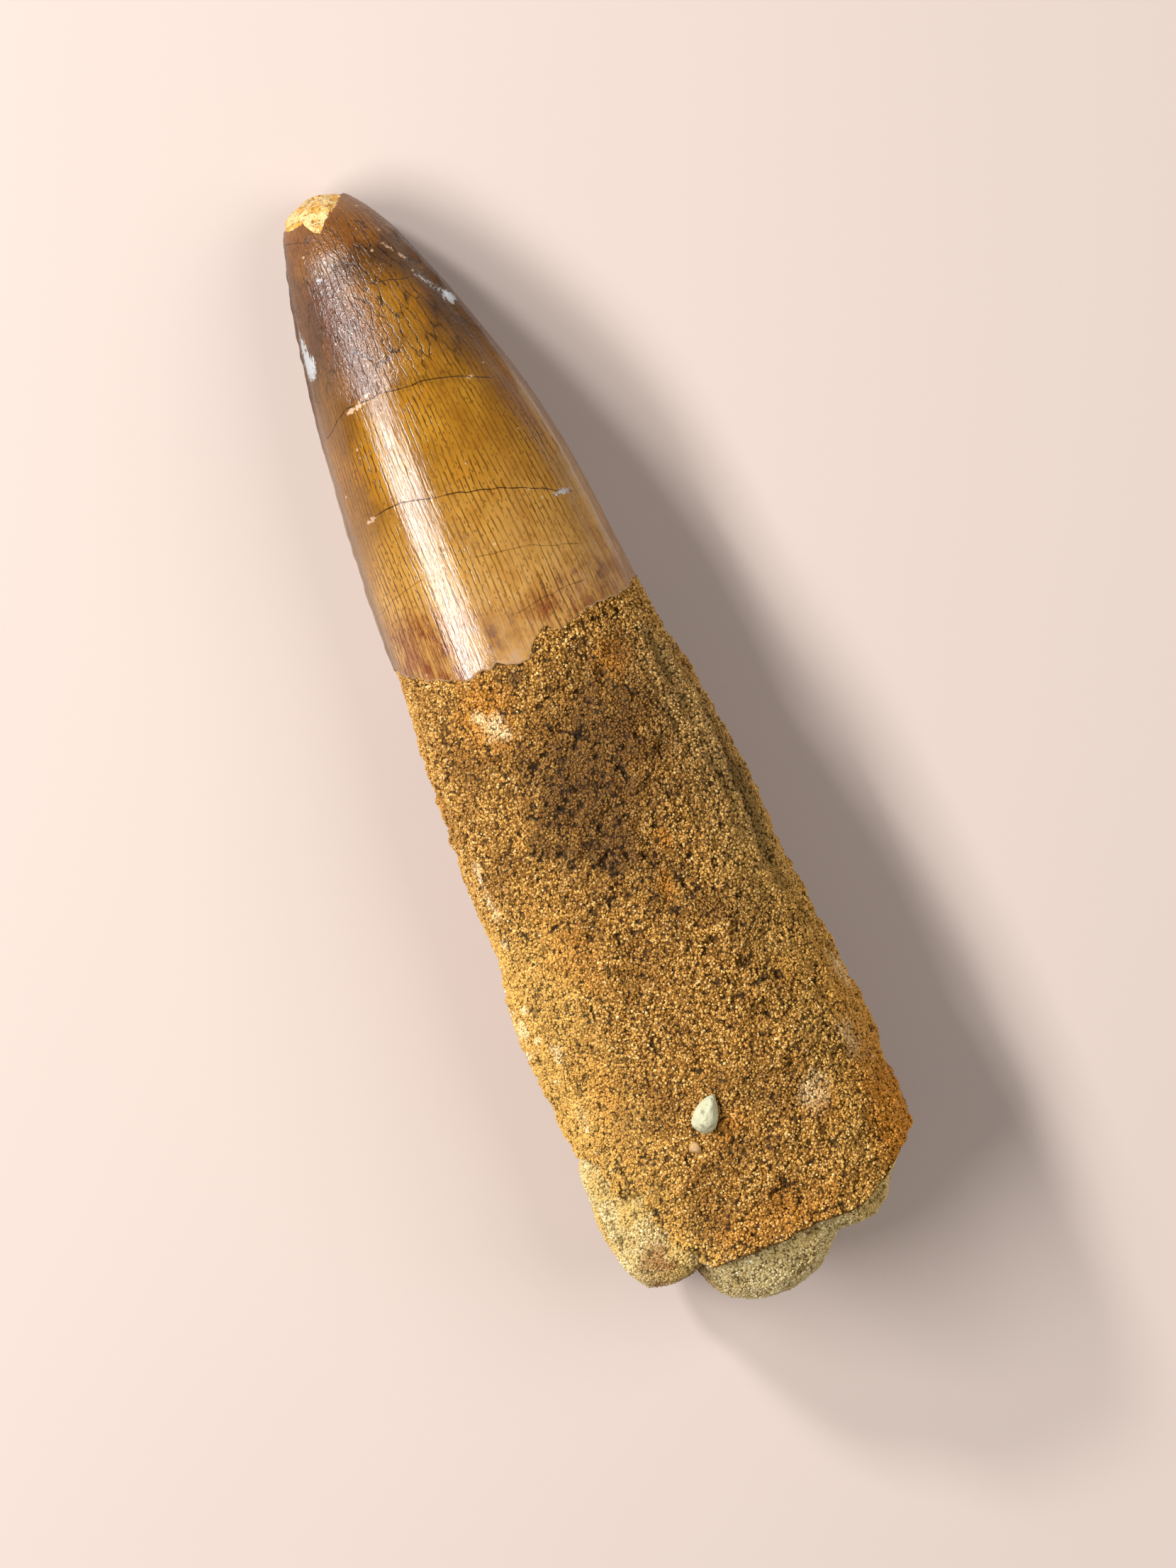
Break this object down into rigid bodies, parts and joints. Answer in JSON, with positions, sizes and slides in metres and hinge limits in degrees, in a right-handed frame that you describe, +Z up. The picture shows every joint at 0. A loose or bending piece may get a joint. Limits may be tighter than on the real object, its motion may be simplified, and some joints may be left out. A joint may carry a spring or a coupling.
{
  "type": "fossil spinosaurus tooth",
  "caption": "Large conical fossil tooth with a worn enamel crown and a sand-crusted root, its hollow root end filled with sandstone, lying flat for display.",
  "frame": {"origin": "on the surface that the tooth lies on, under the middle of its bounding box", "axes": "+X from the crown's tip to the broken root end; +Y to the tooth's right when seen from above with its tip away from the viewer; +Z up, out of the side on show"},
  "size_m": [0.1058, 0.0294, 0.0224],
  "materials": {
    "tooth": "glossy amber enamel crown over a matte sand-crusted root",
    "sandstone_fill": "matte and granular",
    "pebble": "matte"
  },
  "bodies": {
    "root": {"tooth": "tooth", "sandstone_fill": "sandstone_fill", "pebble": "pebble"}
  },
  "joints": []
}
